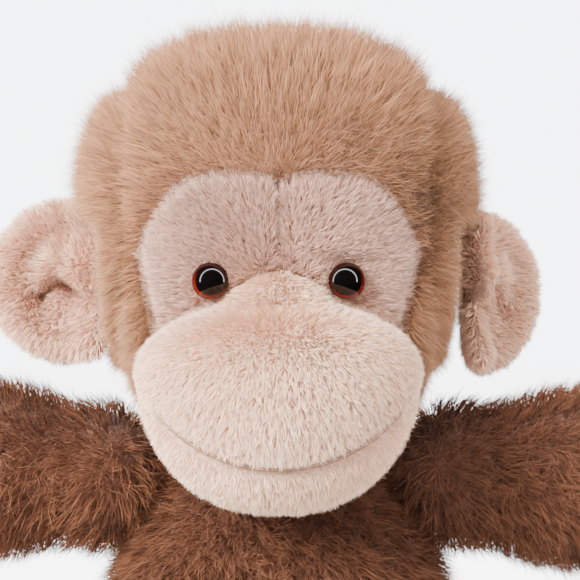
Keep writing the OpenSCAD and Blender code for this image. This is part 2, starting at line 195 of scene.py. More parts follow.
def pile_group():
    """Colour of a strand: dark at its root, pale at its tip, and different on each strand and tuft."""
    group, gi, go = new_group(
        "strand_colour",
        [("Root", "NodeSocketColor", (0.2, 0.1, 0.05, 1)),
         ("Body", "NodeSocketColor", (0.5, 0.3, 0.2, 1)),
         ("Tip", "NodeSocketColor", (0.7, 0.5, 0.4, 1)),
         ("Root Share", "NodeSocketFloat", 0.3),
         ("Strand Spread", "NodeSocketFloat", 0.3),
         ("Tuft Spread", "NodeSocketFloat", 0.2),
         ("Patch Scale", "NodeSocketFloat", 30.0),
         ("Patch Strength", "NodeSocketFloat", 0.2)],
        [("Color", "NodeSocketColor"), ("Roughness", "NodeSocketFloat")])
    link = group.links.new

    def attribute(name):
        node = group.nodes.new("ShaderNodeAttribute")
        node.attribute_name = name
        return node.outputs["Fac"]
    along, tone, tuft = attribute("pile_along"), attribute("pile_tone"), attribute("pile_tuft")
    low = group.nodes.new("ShaderNodeMapRange")
    low.interpolation_type = "SMOOTHSTEP"
    link(along, low.inputs["Value"])
    link(gi.outputs["Root Share"], low.inputs["From Max"])
    base = mix_colour(group, low.outputs[0], gi.outputs["Root"], gi.outputs["Body"])
    high = group.nodes.new("ShaderNodeMapRange")
    high.interpolation_type = "SMOOTHSTEP"
    high.inputs["From Min"].default_value = 0.55
    link(along, high.inputs["Value"])
    base = mix_colour(group, high.outputs[0], base, gi.outputs["Tip"])
    coords = group.nodes.new("ShaderNodeTexCoord")
    noise = group.nodes.new("ShaderNodeTexNoise")
    noise.inputs["Detail"].default_value = 3
    link(coords.outputs["Object"], noise.inputs["Vector"])
    link(gi.outputs["Patch Scale"], noise.inputs["Scale"])
    strand = math_node(group, "MULTIPLY", math_node(group, "SUBTRACT", tone, 0.5),
                       gi.outputs["Strand Spread"])
    tufts = math_node(group, "MULTIPLY", math_node(group, "SUBTRACT", tuft, 0.5), gi.outputs["Tuft Spread"])
    patch = math_node(group, "MULTIPLY", math_node(group, "SUBTRACT", noise.outputs["Fac"], 0.5),
                      gi.outputs["Patch Strength"])
    spread = math_node(group, "ADD", strand, math_node(group, "ADD", tufts, patch))
    total = math_node(group, "ADD", 1.0, spread)
    grey = group.nodes.new("ShaderNodeCombineColor")
    for i in range(3):
        link(total, grey.inputs[i])
    link(mix_colour(group, 1.0, base, grey.outputs[0], "MULTIPLY"), go.inputs["Color"])
    rough = math_node(group, "ADD", 0.62, math_node(group, "MULTIPLY", tone, 0.2))
    link(rough, go.inputs["Roughness"])
    return group


def backing_group():
    """Knitted backing of the fur cloth: uneven colour and small loops."""
    group, gi, go = new_group(
        "knit_backing",
        [("Base", "NodeSocketColor", (0.5, 0.4, 0.3, 1)),
         ("Dark", "NodeSocketColor", (0.3, 0.2, 0.1, 1)),
         ("Loop Scale", "NodeSocketFloat", 900.0)],
        [("Color", "NodeSocketColor"), ("Height", "NodeSocketFloat")])
    link = group.links.new
    coords = group.nodes.new("ShaderNodeTexCoord")
    noise = group.nodes.new("ShaderNodeTexNoise")
    noise.inputs["Scale"].default_value = 60
    noise.inputs["Detail"].default_value = 6
    loops = group.nodes.new("ShaderNodeTexVoronoi")
    link(coords.outputs["Object"], noise.inputs["Vector"])
    link(coords.outputs["Object"], loops.inputs["Vector"])
    link(gi.outputs["Loop Scale"], loops.inputs["Scale"])
    colour = mix_colour(group, noise.outputs["Fac"], gi.outputs["Dark"], gi.outputs["Base"])
    link(colour, go.inputs["Color"])
    link(loops.outputs["Distance"], go.inputs["Height"])
    return group


PILE = pile_group()
BACKING = backing_group()


def rgba(r, g, b):
    """A colour from its 0 to 255 values, in linear light."""
    def linear(v):
        v /= 255
        return v / 12.92 if v <= 0.04045 else ((v + 0.055) / 1.055) ** 2.4
    return (linear(r), linear(g), linear(b), 1.0)


def new_material(name):
    mat = bpy.data.materials.new(name)
    mat.use_nodes = True
    return mat, mat.node_tree, mat.node_tree.nodes["Principled BSDF"]


def pile_material(name, root, body, tip, sheen=0.2, **values):
    mat, tree, shader = new_material(name)
    group = tree.nodes.new("ShaderNodeGroup")
    group.node_tree = PILE
    for label, colour in (("Root", root), ("Body", body), ("Tip", tip)):
        group.inputs[label].default_value = rgba(*colour)
    for label, value in values.items():
        group.inputs[label.replace("_", " ").title()].default_value = value
    tree.links.new(group.outputs["Color"], shader.inputs["Base Color"])
    tree.links.new(group.outputs["Roughness"], shader.inputs["Roughness"])
    shader.inputs["Sheen Weight"].default_value = sheen
    shader.inputs["Sheen Roughness"].default_value = 0.5
    shader.inputs["Specular IOR Level"].default_value = 0.25
    return mat


def backing_material(name, base, dark):
    mat, tree, shader = new_material(name)
    group = tree.nodes.new("ShaderNodeGroup")
    group.node_tree = BACKING
    group.inputs["Base"].default_value = rgba(*base)
    group.inputs["Dark"].default_value = rgba(*dark)
    bump = tree.nodes.new("ShaderNodeBump")
    bump.inputs["Strength"].default_value = 0.4
    bump.inputs["Distance"].default_value = 0.0004
    tree.links.new(group.outputs["Color"], shader.inputs["Base Color"])
    tree.links.new(group.outputs["Height"], bump.inputs["Height"])
    tree.links.new(bump.outputs["Normal"], shader.inputs["Normal"])
    shader.inputs["Roughness"].default_value = 0.9
    shader.inputs["Sheen Weight"].default_value = 0.3
    return mat


# ------------------------------------------------------------------ padded bodies
def own_copy(node, name):
    """A new object with its own copy of a CAD node's mesh."""
    obj = bpy.data.objects.new(name, frame["nodes"][node].data.copy())
    obj.data.name = name
    obj.data.materials.clear()
    bpy.context.scene.collection.objects.link(obj)
    make_active(obj)
    bpy.ops.object.mode_set(mode="EDIT")
    bpy.ops.mesh.select_all(action="SELECT")
    bpy.ops.mesh.remove_doubles(threshold=1e-6)
    bpy.ops.object.mode_set(mode="OBJECT")
    return obj


def remesh(obj, voxel):
    mod = obj.modifiers.new("Remesh", "REMESH")
    mod.mode = "VOXEL"
    mod.voxel_size = voxel * MM
    make_active(obj)
    bpy.ops.object.modifier_apply(modifier=mod.name)


def keep_outer_shell(obj):
    """Drops the cavities inside a form: only its largest loose part stays."""
    make_active(obj)
    before = set(bpy.data.objects)
    bpy.ops.object.mode_set(mode="EDIT")
    bpy.ops.mesh.select_all(action="SELECT")
    bpy.ops.mesh.separate(type="LOOSE")
    bpy.ops.object.mode_set(mode="OBJECT")
    parts = [obj] + [o for o in bpy.data.objects if o not in before]
    biggest = max(parts, key=lambda o: len(o.data.vertices))
    if biggest is not obj:
        obj.data, biggest.data = biggest.data, obj.data
    for part in parts:
        if part is not obj:
            bpy.data.objects.remove(part)


def coords_of(mesh):
    co = np.empty(len(mesh.vertices) * 3, np.float32)
    mesh.vertices.foreach_get("co", co)
    return co.reshape(-1, 3).astype(float)


def normals_of(mesh):
    no = np.empty(len(mesh.vertices) * 3, np.float32)
    mesh.vertex_normals.foreach_get("vector", no)
    return no.reshape(-1, 3).astype(float)


def set_coords(mesh, co):
    mesh.vertices.foreach_set("co", co.astype(np.float32).ravel())
    mesh.update()


def inflate(obj, cap):
    """Blows a cloth bag up under pressure, lets no point move more than cap, and leaves no cloth behind."""
    rest = coords_of(obj.data)
    cloth = obj.modifiers.new("Cloth", "CLOTH")
    cloth.settings.quality = 4
    cloth.settings.mass = 0.2
    cloth.settings.tension_stiffness = 12
    cloth.settings.compression_stiffness = 12
    cloth.settings.bending_stiffness = 0.6
    cloth.settings.use_pressure = True
    cloth.settings.uniform_pressure_force = PRESSURE
    cloth.settings.effector_weights.gravity = 0
    cloth.point_cache.frame_end = SIM_FRAMES
    scene = bpy.context.scene
    for step in range(1, SIM_FRAMES + 1):
        scene.frame_set(step)
    evaluated = obj.evaluated_get(bpy.context.evaluated_depsgraph_get())
    moved = coords_of(evaluated.data)
    obj.modifiers.remove(cloth)
    scene.frame_set(1)
    shift = moved - rest
    length = np.linalg.norm(shift, axis=1, keepdims=True)
    shift *= np.minimum(1, cap * MM / np.maximum(length, 1e-9))
    set_coords(obj.data, rest + shift)


def smooth_surface(obj, rounds, levels):
    make_active(obj)
    if rounds:
        mod = obj.modifiers.new("Smooth", "SMOOTH")
        mod.iterations = rounds
        bpy.ops.object.modifier_apply(modifier=mod.name)
    if levels:
        mod = obj.modifiers.new("Subdivision", "SUBSURF")
        mod.levels = mod.render_levels = levels
        bpy.ops.object.modifier_apply(modifier=mod.name)
    bpy.ops.object.shade_smooth()


def padded_body(node, name, voxel, cap):
    """A stuffed bag: the filling's form remeshed, inflated and smoothed, then kept off the floor."""
    obj = own_copy(node, name)
    remesh(obj, voxel)
    keep_outer_shell(obj)
    inflate(obj, cap)
    smooth_surface(obj, 3, 1)
    push_out(obj, 0)
    return obj


def push_out(obj, distance):
    """Moves a surface out along its normals and keeps it off the floor."""
    co = coords_of(obj.data)
    co += normals_of(obj.data) * distance * MM
    co[:, 2] = np.maximum(co[:, 2], FLOOR_GAP * MM)
    set_coords(obj.data, co)


def mirrored(obj, name):
    """The same piece for the other side, with its own mesh."""
    twin = bpy.data.objects.new(name, obj.data.copy())
    twin.data.name = name
    bpy.context.scene.collection.objects.link(twin)
    co = coords_of(twin.data)
    co[:, 0] *= -1
    set_coords(twin.data, co)
    make_active(twin)
    bpy.ops.object.mode_set(mode="EDIT")
    bpy.ops.mesh.select_all(action="SELECT")
    bpy.ops.mesh.flip_normals()
    bpy.ops.object.mode_set(mode="OBJECT")
    return twin


# ------------------------------------------------------------------ pile
def unit(v):
    return v / np.maximum(np.linalg.norm(v, axis=-1, keepdims=True), 1e-9)


def smoothstep(x, lo, hi):
    t = np.clip((x - lo) / (hi - lo), 0, 1)
    return t * t * (3 - 2 * t)


def scatter(obj, count, keep, rng):
    """Roots spread evenly over a body where keep allows them: places in mm and outward normals."""
    mesh = obj.data
    mesh.calc_loop_triangles()
    tri = np.empty(len(mesh.loop_triangles) * 3, np.int32)
    mesh.loop_triangles.foreach_get("vertices", tri)
    tri = tri.reshape(-1, 3)
    co = coords_of(mesh) / MM
    no = normals_of(mesh)
    corner = co[tri]
    middle = corner.mean(1)
    area = np.linalg.norm(np.cross(corner[:, 1] - corner[:, 0], corner[:, 2] - corner[:, 0]), axis=1)
    area *= keep(middle, unit(no[tri].sum(1)))
    edges = np.cumsum(area)
    spots = (np.arange(count) + rng.random(count)) / count * edges[-1]
    pick = np.minimum(np.searchsorted(edges, spots), len(tri) - 1)
    a, b = rng.random(count), rng.random(count)
    flip = a + b > 1
    a[flip], b[flip] = 1 - a[flip], 1 - b[flip]
    w = np.stack([1 - a - b, a, b], 1)[:, :, None]
    return (corner[pick] * w).sum(1), unit((no[tri[pick]] * w).sum(1))


def tufts(roots, size, rng):
    """Gathers roots into tufts: the index of each root's tuft and the root at each tuft's middle."""
    spread = roots.max(0) - roots.min(0)
    many = max(8, int(len(roots) / size))
    chosen = rng.choice(len(roots), min(many, len(roots)), replace=False)
    tree = kdtree.KDTree(len(chosen))
    for i, c in enumerate(chosen):
        tree.insert(roots[c], i)
    tree.balance()
    return np.array([tree.find(r)[1] for r in roots]), chosen


def strand_paths(roots, normals, along, length, rise, lay, steps):
    """Centre lines of strands that rise from the cloth and lie over towards the way they are combed."""
    t = unit(along - normals * (along * normals).sum(1, keepdims=True))
    first = normals * np.cos(rise)[:, None] + t * np.sin(rise)[:, None]
    last = normals * np.cos(lay)[:, None] + t * np.sin(lay)[:, None]
    s = np.linspace(0, 1, steps)[None, :, None]
    bend = first[:, None] * (s - s * s / 2) + last[:, None] * s * s / 2
    return roots[:, None] + length[:, None, None] * bend


def grow(name, obj, count, keep, comb, length, material, seed,
         width=0.34, rise=25, lay=72, wild=0.28, tuft=26, pull=0.5, steps=4, rough=None):
    """Pile of one panel as flat tapering strands. keep, comb and length are functions of places in mm."""
    rng = np.random.default_rng(seed)
    roots, normals = scatter(obj, count, keep, rng)
    group, chosen = tufts(roots, tuft, rng)
    way = unit(comb(roots, normals))
    tuft_way = rng.normal(0, 1, (len(chosen), 3))[group]
    own_way = rng.normal(0, 1, (count, 3))
    way = way + wild * tuft_way + wild * 0.8 * own_way
    share = rough(roots) if rough else np.zeros(count)
    way += own_way * np.clip(share, 0, 1)[:, None] * 1.3
    size = length(roots) * rng.uniform(0.72, 1.08, count) * rng.uniform(0.85, 1.12, len(chosen))[group]
    lift = np.radians(rise + rng.normal(0, 9, count))
    flat = np.radians(lay + rng.normal(0, 9, count) + rng.normal(0, 7, len(chosen))[group])
    path = strand_paths(roots, normals, way, size, lift, flat, steps)
    s = np.linspace(0, 1, steps)[None, :, None]
    middle = path[chosen][group]
    path += (middle - path) * pull * s ** 1.4 * rng.uniform(0.4, 1.0, count)[:, None, None]
    path[:, :, 2] = np.maximum(path[:, :, 2], FLOOR_GAP)
    forward = unit(path[:, -1] - path[:, 0])
    side = unit(np.cross(forward, normals))
    other = np.cross(forward, side)
    twist = rng.normal(0, 0.75, count)[:, None]
    side = side * np.cos(twist) + other * np.sin(twist)
    tone = rng.random(count)
    # The rough share makes tufts darker: dark curls, and on the head also painted shadow along the face's
    # edge.
    tuft_tone = rng.random(len(chosen))[group] - share
    return strand_mesh(name, path, side, width * rng.uniform(0.75, 1.2, count), tone, tuft_tone, material)


def strand_mesh(name, path, side, width, tone, tuft_tone, material):
    """One mesh of ribbons: two corners at each step and a single corner at the tip."""
    count, steps = path.shape[:2]
    rings = steps - 1
    per = 2 * rings + 1
    s = np.linspace(0, 1, steps)
    half = 0.5 * width[:, None] * (1 - 0.62 * s[:rings] ** 1.5)[None]
    spread = side[:, None] * half[:, :, None]
    verts = np.empty((count, per, 3))
    verts[:, 0:2 * rings:2] = path[:, :rings] - spread
    verts[:, 1:2 * rings:2] = path[:, :rings] + spread
    verts[:, -1] = path[:, -1]
    faces, starts, at = [], [], 0
    for i in range(rings - 1):
        faces += [2 * i, 2 * i + 1, 2 * i + 3, 2 * i + 2]
        starts.append(at)
        at += 4
    faces += [2 * rings - 2, 2 * rings - 1, 2 * rings]
    starts.append(at)
    at += 3
    faces, starts = np.array(faces), np.array(starts)
    corner = (np.arange(count)[:, None] * per + faces[None]).ravel()
    start = (np.arange(count)[:, None] * at + starts[None]).ravel()
    mesh = bpy.data.meshes.new(name)
    mesh.vertices.add(count * per)
    mesh.vertices.foreach_set("co", (verts * MM).astype(np.float32).ravel())
    mesh.loops.add(len(corner))
    mesh.loops.foreach_set("vertex_index", corner.astype(np.int32))
    mesh.polygons.add(len(start))
    mesh.polygons.foreach_set("loop_start", start.astype(np.int32))
    mesh.update(calc_edges=True)
    mesh.polygons.foreach_set("use_smooth", np.ones(len(start), bool))
    height = np.concatenate([np.repeat(s[:rings], 2), [1.0]])
    for label, value in (("pile_along", np.tile(height, count)),
                         ("pile_tone", np.repeat(tone, per)),
                         ("pile_tuft", np.repeat(tuft_tone, per))):
        mesh.attributes.new(label, "FLOAT", "POINT").data.foreach_set("value", value.astype(np.float32))
    cells = math.ceil(math.sqrt(count))
    cell = np.stack([np.arange(count) % cells, np.arange(count) // cells], 1) / cells
    across = np.concatenate([np.tile([0.1, 0.9], rings), [0.5]])
    spot = np.stack([across, 0.1 + 0.8 * height], 1) / cells
    uv = (cell[:, None] + spot[None]).reshape(-1, 2)[corner]
    mesh.uv_layers.new(name="OFBake").data.foreach_set("uv", uv.astype(np.float32).ravel())
    mesh.materials.append(material)
    obj = bpy.data.objects.new(name, mesh)
    bpy.context.scene.collection.objects.link(obj)
    return obj


# ------------------------------------------------------------------ panels of the head
def egg_past(q, r, half_h, power, taper):
    """How far a place is outside an egg at the origin, below 0 inside it."""
    wide = r * (1 - taper * np.clip(q[:, 2] / half_h, -1, 1))
    level = (np.hypot(q[:, 0], q[:, 1]) / wide) ** power + (np.abs(q[:, 2]) / half_h) ** power
    return (level ** (1 / power) - 1) * min(r, half_h)


def past_head(p):
    return egg_past(p - HEAD, HEAD_R, HEAD_HALF_H, HEAD_POWER, HEAD_TAPER)


def past_muzzle(p):
    """How far a place is outside the muzzle's egg and the bridge of the nose above it."""
    q = p - MUZZLE
    c, s = math.cos(MUZZLE_LEAN), math.sin(MUZZLE_LEAN)
    turned = np.stack([q[:, 0], q[:, 1] * c - q[:, 2] * s, q[:, 1] * s + q[:, 2] * c], 1)
    egg = egg_past(turned, MUZZLE_R, MUZZLE_HALF_H, MUZZLE_POWER, MUZZLE_TAPER)
    return np.minimum(egg, np.linalg.norm(p - BRIDGE, axis=1) - BRIDGE_R)


def below_nose_seam(p):
    """Height left under the seam that runs down from between the eyes to each cheek."""
    return MUZZLE_TOP - MUZZLE_SLOPE * np.abs(p[:, 0]) - p[:, 2]


def on_muzzle(p):
    return (past_muzzle(p) < past_head(p)) & (p[:, 1] < HEAD[1] - 18) & (below_nose_seam(p) > 0)


def on_jaw(p, n=None):
    return on_muzzle(p) & (np.hypot(p[:, 0], p[:, 2] - SMILE_Z) > SMILE_R) & (p[:, 2] < SMILE_Z - 20)


def face_edge(p):
    """How far a place is inside the outline of the face, seen from the front."""
    x = np.abs(p[:, 0])
    corner = np.clip((x - (FACE_HALF - FACE_CORNER)) / FACE_CORNER, 0, 1)
    top = FACE_TOP - FACE_CORNER * corner ** 2.4 - 3.0 * np.exp(-(x / 6) ** 2)
    half = FACE_HALF - 0.22 * np.clip(FACE_TOP - FACE_CORNER - p[:, 2], 0, None)
    return np.minimum(top - p[:, 2], half - x)


def on_face(p):
    return (face_edge(p) > 0) & (p[:, 1] < HEAD[1] - 8) & (p[:, 2] > FACE_LOW) & ~on_muzzle(p)


def off_neck(p):
    return np.linalg.norm(p - NECK, axis=1) > NECK_CLEAR


def off_eyes(p):
    return (np.hypot(np.abs(p[:, 0]) - EYE_X, p[:, 2] - EYE_Z) > EYE_R + 0.2) | (p[:, 1] > HEAD[1])


def off_ears(p):
    return ~((np.abs(p[:, 0]) > 58) & (np.abs(p[:, 1] - EAR[1]) < 4) & (np.abs(p[:, 2] - EAR[2]) < 19))


def on_long(p):
    return ~on_face(p) & ~on_muzzle(p) & off_neck(p) & off_ears(p)


def on_crown(p, n=None):
    front = (np.abs(p[:, 0]) < CROWN_HALF) & ((p[:, 2] > CROWN_LOW) | (p[:, 1] > HEAD[1]))
    return on_long(p) & front


def on_left_side(p, n=None):
    return on_long(p) & ~on_crown(p) & (p[:, 0] > 0)


def on_right_side(p, n=None):
    return on_long(p) & ~on_crown(p) & (p[:, 0] <= 0)


def curl_and_edge_shade(p):
    """Share of rough, dark pile round the left corner of the face, and of painted shadow thinly along the
    face's edge; both darken the tufts there.
    """
    patch = np.exp(-((p[:, 0] - 45) / 13) ** 2 - ((p[:, 2] - 224) / 20) ** 2)
    whorl = np.exp(-((p[:, 0] - 22) / 9) ** 2 - ((p[:, 2] - 243) / 7) ** 2)
    # Painted shadow: a thin dark line along the face's edge, where the crown pile overhangs the face.
    edge = np.exp(-(face_edge(p) / 2.6) ** 2)
    return (0.9 * patch + 0.6 * whorl + 0.55 * edge) * (p[:, 1] < HEAD[1] - 10)


def comb_head(p, n):
    away = unit(p - FACE_MIDDLE)
    down = np.array([0, 0, -1.0]) * smoothstep(HEAD[2] + 30 - p[:, 2], 0, 60)[:, None]
    back = np.array([0, 1.0, 0]) * 0.35
    return unit(away + 0.55 * down + back)


def ear_level(p):
    """How far a place is above or below the stretch of the head's side that an ear covers."""
    return np.clip(np.abs(p[:, 2] - EAR[2]) - EAR_SEAM_HALF, 0, None)


def head_length(p):
    seam = np.abs(np.abs(p[:, 0]) - CROWN_HALF)
    front = smoothstep(p[:, 1], -66, -30)
    low = smoothstep(p[:, 2], 150, 190)
    top = smoothstep(p[:, 2], 250, 280)
    wide = smoothstep(np.abs(p[:, 0]), 45, 60)
    full = 9.0 + 8.5 * front + 3.0 * top + 2.5 * wide
    full *= (0.6 + 0.4 * smoothstep(seam, 0, 6)) * (0.75 + 0.25 * low)
    full *= 1 - 0.25 * np.clip(curl_and_edge_shade(p), 0, 1)
    short_side = 4.5 + 0.9 * np.clip(EAR_SEAM_X - np.abs(p[:, 0]), 0, None)
    at_ear = smoothstep(ear_level(p), 10, 0) * (p[:, 1] < EAR[1] + 4)
    return full + (np.minimum(full, short_side) - full) * at_ear


def comb_face(p, n):
    return unit(p - FACE_PIVOT) + np.array([0, 0, 0.25])


def comb_muzzle(p, n):
    return unit(p - MUZZLE_PIVOT)


def near_eye(p):
    return np.hypot(np.abs(p[:, 0]) - EYE_X, p[:, 2] - EYE_Z)


def face_length(p):
    dart = smoothstep(np.abs(p[:, 0]), 0.2, 2.6) * 0.75 + 0.25
    dart = np.where(p[:, 2] > EYE_Z + 4, dart, 1.0)
    rim = np.clip((near_eye(p) - EYE_R) * 0.55 + 1.7, 1.5, 5.0)
    return np.minimum(5.0, rim) * dart


def mouth_distance(p):
    return np.abs(np.hypot(p[:, 0], p[:, 2] - SMILE_Z) - SMILE_R)


def at_mouth_share(p):
    """The pile is shortest along the mouth, most of all at its middle."""
    least = 0.36 + 0.34 * smoothstep(np.abs(p[:, 0]), 12, 34)
    return least + (1 - least) * smoothstep(mouth_distance(p), 0.3, 3.5)


def muzzle_length(p):
    at_mouth = np.where(p[:, 2] < SMILE_Z - MOUTH_DROP, at_mouth_share(p), 1.0)
    rim = np.clip((near_eye(p) - EYE_R) * 0.55 + 1.7, 1.5, 4.2)
    return np.minimum(4.2, rim) * at_mouth


def jaw_length(p):
    return 3.4 * at_mouth_share(p)


# ------------------------------------------------------------------ shaping of the head
def crease(co, no, distance, depth, reach):
    """Presses a groove into a surface where distance is small."""
    return co - no * (depth * np.exp(-(distance / reach) ** 2))[:, None]


def shape_head(obj):
    """Seams, the mouth, the dart between the eyes and the folds, pressed into the inflated head."""
    co, no = coords_of(obj.data) / MM, normals_of(obj.data)
    front = co[:, 1] < HEAD[1] - 20
    far = 99.0
    full = smoothstep(past_head(co), 0, 10) * smoothstep(MUZZLE_TOP - 8 - co[:, 2], 0, 20)
    co[:, 0] *= 1 + 0.035 * full
    co[:, 2] -= 2.2 * full * smoothstep(MUZZLE[2] - co[:, 2], 0, 25)
    nose = np.where(front & (past_muzzle(co) < past_head(co) + 4), np.abs(below_nose_seam(co)), far)
    co = crease(co, no, nose, 1.0, 2.2)
    cheek = np.where(front & (below_nose_seam(co) > -2), np.abs(past_head(co) - past_muzzle(co)) * 0.7, far)
    co = crease(co, no, cheek, 1.6, 2.4)
    at_mouth = on_muzzle(co) & (co[:, 2] < SMILE_Z - MOUTH_DROP) & (np.abs(co[:, 0]) < MOUTH_HALF)
    mouth = np.where(at_mouth, mouth_distance(co), far)
    co = crease(co, no, mouth, 3.2, 2.0)
    dart = np.where(front & (co[:, 2] > MUZZLE_TOP - 2) & (co[:, 2] < FACE_TOP + 2), np.abs(co[:, 0]), far)
    co = crease(co, no, dart, 3.0, 1.8)
    brow = np.where(front & (co[:, 0] > 6) & (co[:, 0] < 34), np.abs(co[:, 2] - EYE_Z - 7), far)
    co = crease(co, no, brow, 1.7, 1.8)
    rim = np.where(front & (co[:, 2] > MUZZLE_TOP - 20), np.abs(face_edge(co)), far)
    co = crease(co, no, rim, 2.6, 2.4)
    side = np.where(co[:, 2] > 160, np.abs(np.abs(co[:, 0]) - CROWN_HALF), far)
    co = crease(co, no, side, 2.6, 3.0)
    set_coords(obj.data, co * MM)


# ------------------------------------------------------------------ shaping of an ear
EAR_MIDDLE = EAR + np.array([9.5, 0, 0])
EAR_HALF = 30.0
EAR_GROWTH = (1.2, 1.26)
EAR_FOLD = ((-19, -5.0), (-12, -4.8), (-3.4, -4.4), (4.6, 0.4), (11.2, -5.9))
EAR_TURN = math.radians(38)
EAR_DROP = 4.5


def line_distance(u, v, points):
    """Shortest distance from each (u, v) to a line through the points."""
    best = np.full(len(u), 1e9)
    for (u0, v0), (u1, v1) in zip(points, points[1:]):
        du, dv = u1 - u0, v1 - v0
        t = np.clip(((u - u0) * du + (v - v0) * dv) / (du * du + dv * dv), 0, 1)
        best = np.minimum(best, np.hypot(u - u0 - t * du, v - v0 - t * dv))
    return best


def shape_ear(obj):
    """A puffy ear: its upper half folds down over a forked crease, and its rim rolls forward."""
    co, no = coords_of(obj.data) / MM, normals_of(obj.data)
    q = co - EAR_MIDDLE
    q[:, 0] = (q[:, 0] + 9.5) * EAR_GROWTH[0] - 9.5
    q[:, 2] *= EAR_GROWTH[1]
    q += no * 1.2
    r = np.hypot(q[:, 0], q[:, 2]) / EAR_HALF
    front = smoothstep(-no[:, 1], 0.0, 0.5)
    q[:, 1] *= 1 + 0.9 * smoothstep(r, 0.45, 0.85)
    q[:, 1] -= smoothstep(r, 0.45, 0.95) * 2.0
    fold = line_distance(q[:, 0], q[:, 2], EAR_FOLD)
    level = np.interp(q[:, 0], [p[0] for p in EAR_FOLD], [p[1] for p in EAR_FOLD])
    above = smoothstep(q[:, 2] - level, -2, 3)
    lip = np.exp(-((q[:, 2] - level - 8) / 9) ** 2) * smoothstep(6 - q[:, 0], -10, 4)
    q[:, 1] -= front * above * lip * 4.5
    hollow = np.exp(-((q[:, 2] - level + 5) / 6) ** 2) * smoothstep(9 - q[:, 0], -8, 4)
    q[:, 1] += front * (1 - above) * hollow * 2.5
    q[:, 1] += front * 8.0 * np.exp(-(fold / 2.5) ** 2)
    inner = smoothstep(-q[:, 0], -2, 12)
    q[:, 0] -= inner * 5.0
    q[:, 1] -= inner * 15.0
    set_coords(obj.data, (q + EAR_MIDDLE) * MM)


def settle_left_ear(obj):
    """The left ear is folded back a little and sewn on a little lower than the right."""
    root = Vector((EAR[0] - 3, EAR[1], EAR[2])) * MM
    obj.data.transform(Matrix.Translation(root - Vector((0, 0, EAR_DROP * MM)))
                       @ Matrix.Rotation(EAR_TURN, 4, "Z") @ Matrix.Translation(-root))


def ear_part(front):
    def keep(p, n):
        facing = n[:, 1] < 0.05
        return (np.abs(p[:, 0]) > EAR[0] - 4) & (facing if front else ~facing)
    return keep


def ear_length(side):
    """Short pile, shorter still in the forked crease."""
    def length(p):
        q = p - side_point(EAR_MIDDLE, side)
        fold = line_distance(q[:, 0] * side, q[:, 2], EAR_FOLD)
        return 4.6 * (0.25 + 0.75 * smoothstep(fold, 1.2, 5.0))
    return length


def comb_ear(side):
    def comb(p, n):
        return unit(p - np.array([side * (EAR[0] + 2), EAR[1], EAR[2] - 2]) + np.array([0, 0, -6.0]))
    return comb


# ------------------------------------------------------------------ limbs and trunk
def side_point(point, side):
    return point * np.array([side, 1, 1])


def off_limbs(p):
    keep = off_neck(p)
    for side in (1, -1):
        keep &= np.linalg.norm(p - side_point(SHOULDER, side), axis=1) > SHOULDER_CLEAR
        keep &= np.linalg.norm(p - side_point(HIP, side), axis=1) > HIP_CLEAR
    keep &= np.linalg.norm(p - np.array([0, TAIL_BEND[1], TAIL_BEND[2]]), axis=1) > TAIL_CLEAR
    return keep


def on_seat(p, n=None):
    return off_limbs(p) & (p[:, 2] < 3.0)


def on_chest(p, n=None):
    return off_limbs(p) & (p[:, 2] >= 3.0) & (p[:, 1] < 0)


def on_left_back(p, n=None):
    return off_limbs(p) & (p[:, 2] >= 3.0) & (p[:, 1] >= 0) & (p[:, 0] >= 0)


def on_right_back(p, n=None):
    return off_limbs(p) & (p[:, 2] >= 3.0) & (p[:, 1] >= 0) & (p[:, 0] < 0)


def comb_trunk(p, n):
    out = unit(np.stack([p[:, 0], p[:, 1], np.zeros(len(p))], 1))
    return unit(0.45 * out + np.array([0, 0, -1.0]))


def trunk_length(p):
    wide = 3.0 * smoothstep(np.abs(p[:, 0]), 35, 60)
    return 9.0 + (3.5 + wide) * smoothstep(p[:, 2], 20, 80) - 5.0 * smoothstep(12 - p[:, 2], 0, 12)


def all_over(p, n=None):
    return np.ones(len(p), bool)


def plump_arm(obj, lift):
    """Fills the upper arm out, and lets it sit a little higher or lower."""
    co = coords_of(obj.data) / MM
    x = np.abs(co[:, 0])
    full = smoothstep(x - SHOULDER[0], 2, 26) * smoothstep(WRIST_X - x, 0, 50)
    co[:, 1] *= 1 + 0.08 * full
    co[:, 2] = SHOULDER[2] + (co[:, 2] - SHOULDER[2]) * (1 + 0.13 * full) + lift * full
    set_coords(obj.data, co * MM)


def on_arm(side):
    def keep(p, n):
        q = p - side_point(SHOULDER, side)
        return q[:, 0] * side > LIMB_ROOT
    return keep


def comb_arm(side):
    """Along the arm and a little down, and straight down where the shoulder meets the trunk."""
    def comb(p, n):
        out = smoothstep((p - side_point(SHOULDER, side))[:, 0] * side, -22, 4)[:, None]
        return unit(np.array([side, 0, -0.5]) * out + np.array([0, -0.3, -1.0]) * (1 - out) + 0.25 * n)
    return comb


def arm_length(p):
    return 12.5 - 5.0 * smoothstep(np.abs(p[:, 0]), 165, 190)


def leg_way(side):
    return np.array([side * math.sin(SPLAY), -math.cos(SPLAY), 0])


def on_leg(side):
    def keep(p, n):
        return (p - side_point(HIP, side)) @ leg_way(side) > LIMB_ROOT
    return keep


def comb_leg(side):
    def comb(p, n):
        return unit(leg_way(side) + np.array([0, 0, -0.4]) + 0.2 * n)
    return comb


def leg_length(p):
    return 11.0 - 6.0 * smoothstep(14 - p[:, 2], 0, 12)


def comb_hand(side):
    def comb(p, n):
        return unit(np.array([side * 1.0, 0, -0.2]) + 0.2 * n)
    return comb


def comb_foot(side):
    def comb(p, n):
        return unit(leg_way(side) * 0.3 + np.array([0, 0, -1.0]) + 0.2 * n)
    return comb


def comb_tail(p, n):
    q = p - TAIL_BEND
    way = np.stack([q[:, 1], -q[:, 0], np.zeros(len(p))], 1)
    return unit(unit(way) + 0.3 * n)


def tail_length(p):
    return 8.0 - 4.0 * smoothstep(8 - p[:, 2], 0, 8)


def short(mm):
    def length(p):
        return np.full(len(p), mm)
    return length


